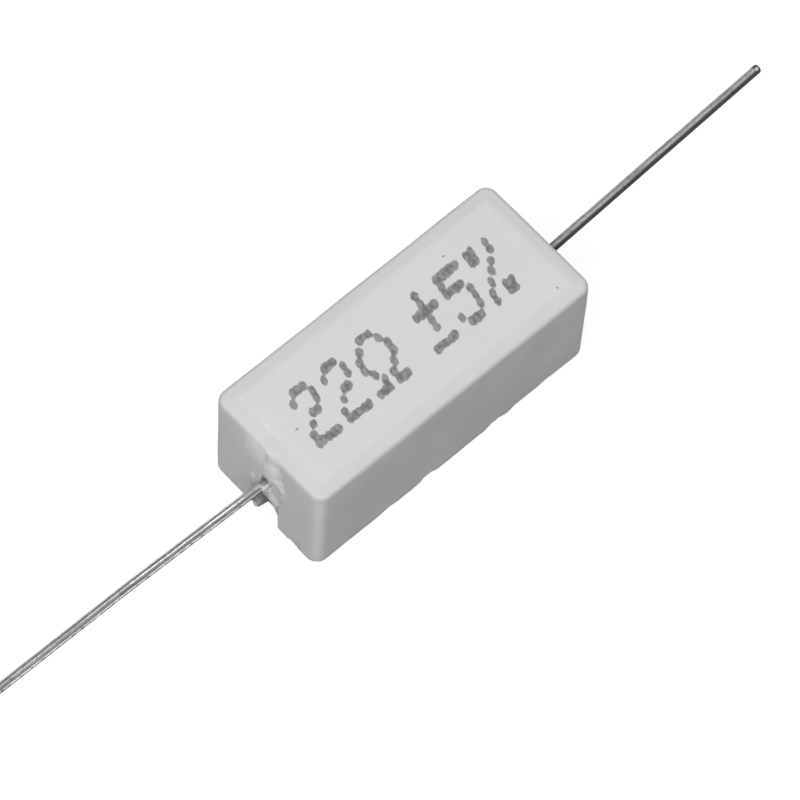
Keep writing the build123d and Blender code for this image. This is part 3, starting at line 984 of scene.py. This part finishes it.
def tube(line, along, radius, tip, seed):
    """A round wire: circles square to the line, which waver by microns and close in a rounded tip."""
    sides = 40
    ahead = np.gradient(line, along, axis=0)
    ahead /= np.linalg.norm(ahead, axis=1, keepdims=True)
    side = np.cross(ahead, (0, 0, 1.0))
    side /= np.linalg.norm(side, axis=1, keepdims=True)
    up = np.cross(side, ahead)
    # The tip: a quarter circle of the tip's radius, then flat to the middle
    q = np.linspace(0, np.pi / 2, 7)[1:]
    flat = (radius - tip) * np.array([0.66, 0.33, 0.0])
    kept = np.flatnonzero(along[-1] - along > tip)
    ends = line[-1] - ahead[-1] * tip * (1 - np.sin(q))[:, None]
    centre = np.concatenate([line[kept], ends, np.repeat(line[-1:], len(flat), 0)])
    size = np.concatenate([np.full(len(kept), radius), radius - tip * (1 - np.cos(q)), flat])
    index = np.concatenate([kept, np.full(len(q) + len(flat), len(line) - 1)])
    s = along[index]
    angle = np.linspace(0, 2 * np.pi, sides, endpoint=False)
    c, d = np.cos(angle), np.sin(angle)
    on_tube = stacked(c * 0.3, d * 0.3, s[:, None] * 0.25)
    waver = 0.0012 * ripple(on_tube, 0.6, seed) + 0.002 * ripple(on_tube, 2.2, seed + 1)
    reach = size[:, None] * (1 + waver / radius) - 0.004 * (size[:, None] > 0)
    outward = c[:, None] * side[index][:, None] + d[:, None] * up[index][:, None]
    return centre[:, None] + reach[..., None] * outward, s


def build_lead(name, points, sizes, material, seed):
    """A lead along its route's corners, with a UV map of (turn, length in centimetres)."""
    line, along = route(points, sizes.bend_radius)
    rings, s = tube(line, along, sizes.diameter / 2, sizes.tip_radius, seed)
    start = rings[:1] * 0 + line[0]
    rings = np.concatenate([start, rings])
    s = np.concatenate([s[:1], s])
    rows, columns = rings.shape[:2]
    # One more column repeats the first, so that the pattern runs on round the wire
    rings = np.concatenate([rings, rings[:, :1]], 1)
    faces = grid_faces(rows, columns + 1, False)[:, ::-1]
    uv = stacked(np.linspace(0, 1, columns + 1), s[:, None] / 10)
    return put(name, rings, faces, material, "tinned_wire", uv=uv)


# The dots of each sign: seven rows, the top one first
DOTS = {
    "0": "01110 10001 10011 10101 11001 10001 01110",
    "1": "00100 01100 00100 00100 00100 00100 01110",
    "2": "01110 10001 00001 00110 01000 10000 11111",
    "3": "11111 00010 00100 00010 00001 10001 01110",
    "4": "00010 00110 01010 10010 11111 00010 00010",
    "5": "11111 10000 11110 00001 00001 10001 01110",
    "6": "00110 01000 10000 11110 10001 10001 01110",
    "7": "11111 00001 00010 00100 01000 01000 01000",
    "8": "01110 10001 10001 01110 10001 10001 01110",
    "9": "01110 10001 10001 01111 00001 00010 01100",
    "Ω": "0011100 0100010 1000001 1000001 0100010 0010100 1110111",
    "±": "00100 00100 11111 00100 00100 00000 11111",
    "%": "11001 11001 00010 00100 01000 10011 10011",
    " ": "00 00 00 00 00 00 00",
}


# Orders and sizes of the waves in a drop's outline
WAVES = ((2, 0.04), (3, 0.04), (4, 0.03), (6, 0.02))
# Three stray specks of ink beside the characters, as (x, y, half width, half height)
STRAY = ((5.5, 2.62, 0.1, 0.07), (-8.69, -0.16, 0.13, 0.06), (9.16, -3.41, 0.08, 0.06))


def drops(sizes):
    """Middles and half sizes (x, y, a, b) of the ellipses of ink, the stray specks among them."""
    chance = np.random.default_rng(9)
    lit = []
    left = 0.0
    for sign in sizes.text:
        dots = np.array([list(line) for line in DOTS[sign].split()]) == "1"
        row, column = np.nonzero(dots)
        lit.append(stacked(left + column * sizes.column_pitch, (3 - row) * sizes.row_pitch))
        left += (dots.shape[1] - 1) * sizes.column_pitch + sizes.gap
    lit = np.concatenate(lit)
    lit += chance.normal(0, 0.02, lit.shape)
    half = stacked(sizes.drop_width / 2, sizes.drop_height / 2) * chance.normal(1, 0.06, lit.shape)
    x = sizes.start + lit[:, 0] + lit[:, 1] * math.tan(sizes.slant)
    return np.concatenate([stacked(x, lit[:, 1], half[:, 0], half[:, 1]), STRAY])


def ink_sheet(sizes, top):
    """The ink as one thin sheet on the panel, and the ink at each of its points.

    The ink at a place is the sum over the drops of a share that falls smoothly from 1 inside a
    drop's outline to 0 outside it. An outline is an ellipse whose radius waves with the angle.
    Cells with no ink are left out, and the sheet's edges lie just under the panel's surface.
    """
    cell, sunk, back = 0.045, 0.012, 0.05
    # The part of the panel that the grid covers
    left, right, bottom, top_edge = -9.2, 9.4, -3.55, 3.0
    chance = np.random.default_rng(12)
    x, y = np.meshgrid(np.arange(left, right, cell), np.arange(bottom, top_edge, cell))
    ink = np.zeros_like(x)
    lean = math.tan(sizes.slant)
    for x0, y0, a, b in drops(sizes):
        v = (y - y0) / b
        u = (x - x0 - (y - y0) * lean) / a
        angle = np.arctan2(v, u)
        waves = 0
        for k, size in WAVES:
            waves = waves + chance.normal(0, size) * np.cos(k * angle + chance.uniform(0, 6.3))
        ink += fall(np.hypot(u, v) - waves, 0.55, 1.5)
    least = 0.1
    wet = ink > least
    keep = wet[:-1, :-1] | wet[1:, :-1] | wet[:-1, 1:] | wet[1:, 1:]
    z = top - sunk + (sunk + sizes.thickness) * step(ink, least, 0.8)
    points, faces = slab(stacked(x, y, z), stacked(x, y, top - back), keep)
    return points, faces, np.tile(ink.ravel(), 2)


def settings(context):
    return context.scene.resistor


class RESISTOR_OT_case(Operator):
    """Make the ceramic case in place of its plain solid"""

    bl_idname = "resistor.case"
    bl_label = "Ceramic case"

    def execute(self, context):
        s = settings(context)
        made = build_case(s.case, s.finishes)
        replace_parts(made, "ceramic_case")
        return {"FINISHED"}


class RESISTOR_OT_cement(Operator):
    """Make the cement seen under the case and at its two ends"""

    bl_idname = "resistor.cement"
    bl_label = "Cement"

    def execute(self, context):
        s = settings(context)
        for made in build_cement(s.cement, s.case, s.leads, s.finishes):
            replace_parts(made, "cement_fill")
        return {"FINISHED"}


class RESISTOR_OT_leads(Operator):
    """Make the two tinned wire leads"""

    bl_idname = "resistor.leads"
    bl_label = "Leads"

    def execute(self, context):
        s = settings(context)
        half, z = s.case.length / 2, s.leads.height
        welded = near_high.x / MM
        near_tip, far_tip = near_low.x / MM, far_high.x / MM
        # Corners of the two routes: a straight start at the cap, then slow bends aside and up
        near = [(welded, 0, z), (welded - 1, 0, z), (-half - 11, 0, z + 0.92), (near_tip, 0, z + 1.16)]
        far = [(-welded, 0, z), (1 - welded, 0, z), (half, 0.2, z + 0.25), (far_tip, 0.58, z + 1.58)]
        bright = tin_finish(s.finishes, "bright_tin")
        # The far lead gets a shaded copy of the tin, with painted shade
        painted_shade_copy = tin_finish(s.finishes, "painted_shade_tin", [v * MM for v in far[-1]])
        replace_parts(build_lead("near_lead_wire", near, s.leads, bright, 51), "lead_near")
        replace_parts(build_lead("far_lead_wire", far, s.leads, painted_shade_copy, 57), "lead_far")
        return {"FINISHED"}


class RESISTOR_OT_marking(Operator):
    """Print the resistance value on the panel in dots of ink"""

    bl_idname = "resistor.marking"
    bl_label = "Marking"

    def execute(self, context):
        s = settings(context)
        unknown = set(s.marking.text) - set(DOTS)
        if unknown:
            raise ValueError(f"no dots for {sorted(unknown)}")
        points, faces, ink = ink_sheet(s.marking, s.case.height - 0.4 * s.case.unevenness)
        put("printed_value", points, faces, ink_finish(s.finishes), "case_ceramic", ink=ink)
        return {"FINISHED"}


class RESISTOR_OT_element(Operator):
    """Finish the wound element that is sealed inside"""

    bl_idname = "resistor.element"
    bl_label = "Wound element"

    def execute(self, context):
        s = settings(context).finishes
        steel = metal_finish("cap_steel", tuple(s.cap_steel), 0.3)
        finishes = {
            "core_rod": rod_finish(s),
            "resistance_wire": metal_finish("resistance_alloy", tuple(s.alloy), 0.35),
            "end_cap_near": steel,
            "end_cap_far": steel,
        }
        for name, material in finishes.items():
            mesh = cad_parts[name].data
            mesh.materials.clear()
            mesh.materials.append(material)
        return {"FINISHED"}


class RESISTOR_OT_stage(Operator):
    """Set out the floor, the lamps and the camera"""

    bl_idname = "resistor.stage"
    bl_label = "Stage"

    def execute(self, context):
        s = settings(context).stage
        context.scene.view_settings.view_transform = "Standard"
        build_floor(s)
        build_world(s)
        # Each lamp's place and diameter, in metres, and its power
        lamp("key_lamp", (-0.21, -0.115, 0.44), 0.44, s.key_power)
        lamp("fill_lamp", (0.24, 0.06, 0.43), 0.2, s.fill_power)
        build_camera(s)
        return {"FINISHED"}


def build_floor(s):
    """A flat square floor that shows pale and keeps a soft shadow."""
    lines = np.linspace(-0.4, 0.4, 9)
    x, y = np.meshgrid(lines, lines)
    mesh = bpy.data.meshes.new("floor")
    faces = grid_faces(*x.shape, False)
    mesh.from_pydata(stacked(x, y, 0.0).reshape(-1, 3).tolist(), [], faces.tolist())
    shader = Shader("pale_floor")
    path = shader.node("LightPath").socket.node
    kinds = ("Camera", "Glossy", "Transmission")
    shown = shader.largest(*(Sock(shader, path.outputs[f"Is {kind} Ray"]) for kind in kinds))
    # What is shown glows, and a share of matt grey in it takes the shadow
    tone = shader.blend(shown, s.floor_bounce, grey(0.22))
    matt = shader.node("BsdfDiffuse", None, {"Color": tone})
    glow = shader.node("Emission", None, {"Color": (*s.floor, 1), "Strength": shown * 0.86})
    both = shader.node("AddShader", None, {0: matt, 1: glow})
    shader.node("OutputMaterial", None, {"Surface": both})
    mesh.materials.append(shader.material)
    floor = bpy.data.objects.new("floor", mesh)
    bpy.context.scene.collection.objects.link(floor)


def build_world(s):
    world = bpy.data.worlds.new("studio")
    world.use_nodes = True
    world.node_tree.nodes["Background"].inputs["Color"].default_value = (*s.world, 1)
    bpy.context.scene.world = world


def lamp(name, place, size, power):
    """A round lamp that points at the origin."""
    data = bpy.data.lights.new(name, "AREA")
    data.shape = "DISK"
    data.size = size
    data.energy = power
    thing = bpy.data.objects.new(name, data)
    thing.location = place
    thing.rotation_mode = "QUATERNION"
    thing.rotation_quaternion = (-Vector(place)).to_track_quat("-Z", "Y")
    bpy.context.scene.collection.objects.link(thing)


def build_camera(s):
    """The camera, found by fitting the case's edges: 0.4 m away, 63 degrees up, rolled 4 degrees."""
    right = np.array([0.73903098, -0.67285654, 0.03312537])
    up = np.array([0.59154261, 0.67167754, 0.44601192])
    back = np.array([-0.3223516, -0.31002156, 0.89441382])
    distance, aside, above = 0.4, 0.00001, 0.000364
    data = bpy.data.cameras.new("camera")
    data.lens = s.lens
    data.sensor_width = 36
    data.clip_start = 0.01
    data.clip_end = 10
    camera = bpy.data.objects.new("camera", data)
    turn = Matrix(np.stack([right, up, back], 1).tolist())
    camera.rotation_mode = "QUATERNION"
    camera.rotation_quaternion = turn.to_quaternion()
    camera.location = back * distance + right * aside + up * above
    bpy.context.scene.collection.objects.link(camera)
    bpy.context.scene.camera = camera


class RESISTOR_PT_build(Panel):
    """Lists the build steps"""

    bl_idname = "RESISTOR_PT_build"
    bl_label = "Cement power resistor"
    bl_space_type = "VIEW_3D"
    bl_region_type = "UI"
    bl_category = "Resistor"

    def draw(self, context):
        for operator in OPERATORS:
            self.layout.operator(operator.bl_idname)
        s = settings(context)
        for group in (s.case, s.cement, s.leads, s.marking, s.finishes, s.stage):
            box = self.layout.box()
            for name in group.bl_rna.properties.keys():
                if name not in {"rna_type", "name"}:
                    box.prop(group, name)


class ResistorSettings(PropertyGroup):
    """All the settings of the part."""

    case: PointerProperty(type=CaseSizes)
    cement: PointerProperty(type=CementSizes)
    leads: PointerProperty(type=LeadSizes)
    marking: PointerProperty(type=MarkingSizes)
    finishes: PointerProperty(type=Finishes)
    stage: PointerProperty(type=StageSettings)


OPERATORS = (
    RESISTOR_OT_case,
    RESISTOR_OT_cement,
    RESISTOR_OT_leads,
    RESISTOR_OT_marking,
    RESISTOR_OT_element,
    RESISTOR_OT_stage,
)
CLASSES = (
    CaseSizes,
    CementSizes,
    LeadSizes,
    MarkingSizes,
    Finishes,
    StageSettings,
    ResistorSettings,
    *OPERATORS,
    RESISTOR_PT_build,
)


def register():
    for cls in CLASSES:
        bpy.utils.register_class(cls)
    bpy.types.Scene.resistor = PointerProperty(type=ResistorSettings)


def unregister():
    del bpy.types.Scene.resistor
    for cls in reversed(CLASSES):
        bpy.utils.unregister_class(cls)


def main():
    register()
    for operator in OPERATORS:
        group, name = operator.bl_idname.split(".")
        getattr(getattr(bpy.ops, group), name)()
    bpy.context.view_layer.update()


if __name__ == "__main__":
    main()
